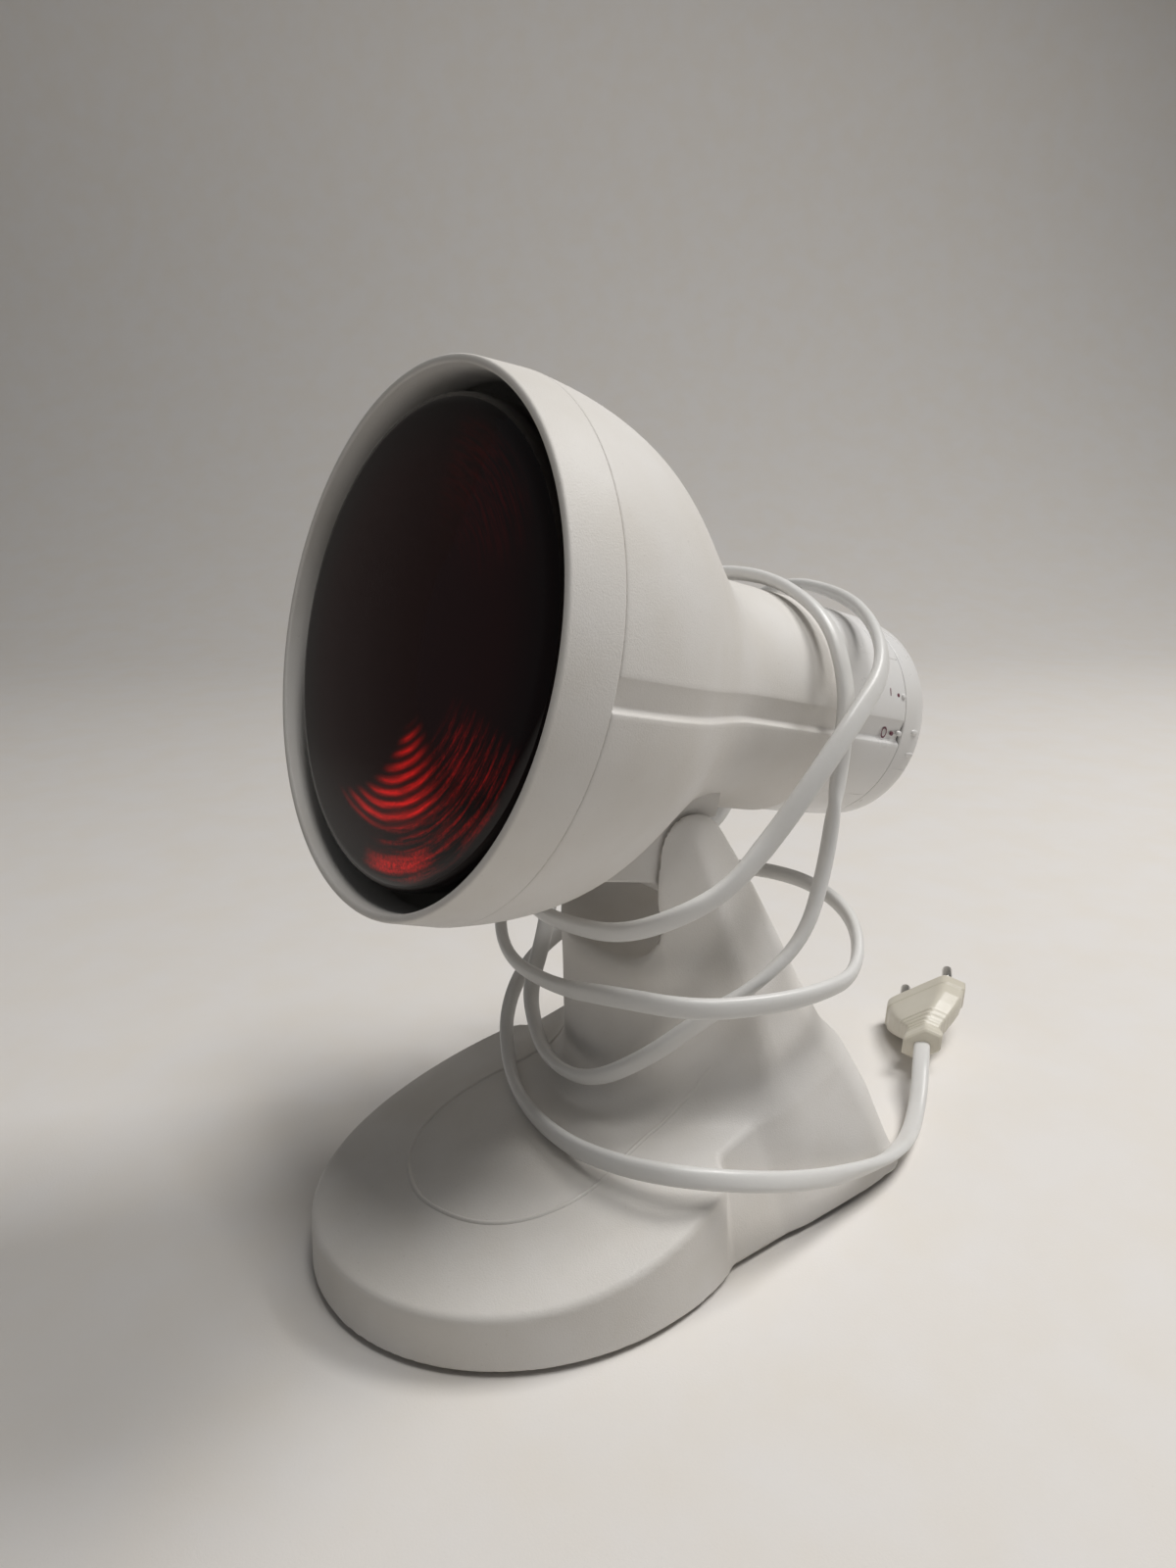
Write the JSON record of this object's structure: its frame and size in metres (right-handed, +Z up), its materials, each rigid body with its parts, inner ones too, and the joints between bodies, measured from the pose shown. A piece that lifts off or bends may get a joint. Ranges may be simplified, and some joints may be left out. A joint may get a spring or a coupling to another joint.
{
  "type": "infrared heat therapy lamp",
  "caption": "Table infrared lamp: a bell-shaped hood with a red reflector bulb tilts in the fork of an oval weighted foot, with a rotary switch behind and a mains lead.",
  "frame": {"origin": "on the floor, in the middle of the lamp's box without its lead", "axes": "+Z up; the lamp shines towards -Y; +X across"},
  "size_m": [0.1447, 0.2767, 0.2463],
  "materials": {
    "shell": "fine textured off-white moulding",
    "rear_shell": "smooth off-white moulding",
    "plate": "smooth off-white moulding",
    "iron": "cast",
    "rubber": "moulded",
    "steel": "zinc plated",
    "nylon": "natural",
    "porcelain": "glazed",
    "brass": "pressed",
    "red_glass": "deep red filter glass",
    "mirror_glass": "silvered inside",
    "black_glass": "black insulator glass",
    "clear_glass": "clear",
    "tungsten": "drawn wire",
    "lead_brown": "insulated wire",
    "lead_blue": "insulated wire",
    "cord": "flat two-core sheath",
    "plug": "moulded cream",
    "pins": "nickel plated"
  },
  "bodies": {
    "base": {"base_shell": "shell", "bottom_plate": "plate", "ballast_weight": "iron", "rubber_feet": "rubber", "base_screws": "steel", "tilt_bushes": "nylon", "mains_cord": "cord", "plug_body": "plug", "plug_pins": "pins"},
    "head": {"hood_upper": "shell", "hood_lower": "shell", "front_ring": "shell", "rear_housing": "rear_shell", "tilt_pins": "steel", "holder_bracket": "steel", "holder_screws": "steel", "holder_contact": "steel", "tilt_washers": "nylon", "cord_clamp": "nylon", "switch_body": "nylon", "lampholder": "porcelain", "holder_shell": "brass", "bulb_cap": "brass", "bulb_lens": "red_glass", "bulb_reflector": "mirror_glass", "bulb_contact": "black_glass", "filament_support": "clear_glass", "filament": "tungsten", "lead_live": "lead_brown", "lead_switched": "lead_brown", "lead_neutral": "lead_blue"},
    "switch": {"switch_cap": "rear_shell", "switch_shaft": "nylon"}
  },
  "joints": [
    {"name": "lamp_tilt", "type": "hinge", "parent": "base", "child": "head", "pos_m": [0, 0.00455, 0.1147], "axis": [-1, 0, 0], "range_deg": [-20, 20], "deforming": ["mains_cord"]},
    {"name": "switch_turn", "type": "hinge", "parent": "head", "child": "switch", "pos_m": [0, 0.08967, 0.13891], "axis": [0, -0.9673, 0.2536], "range_deg": [0, 20.5]}
  ]
}
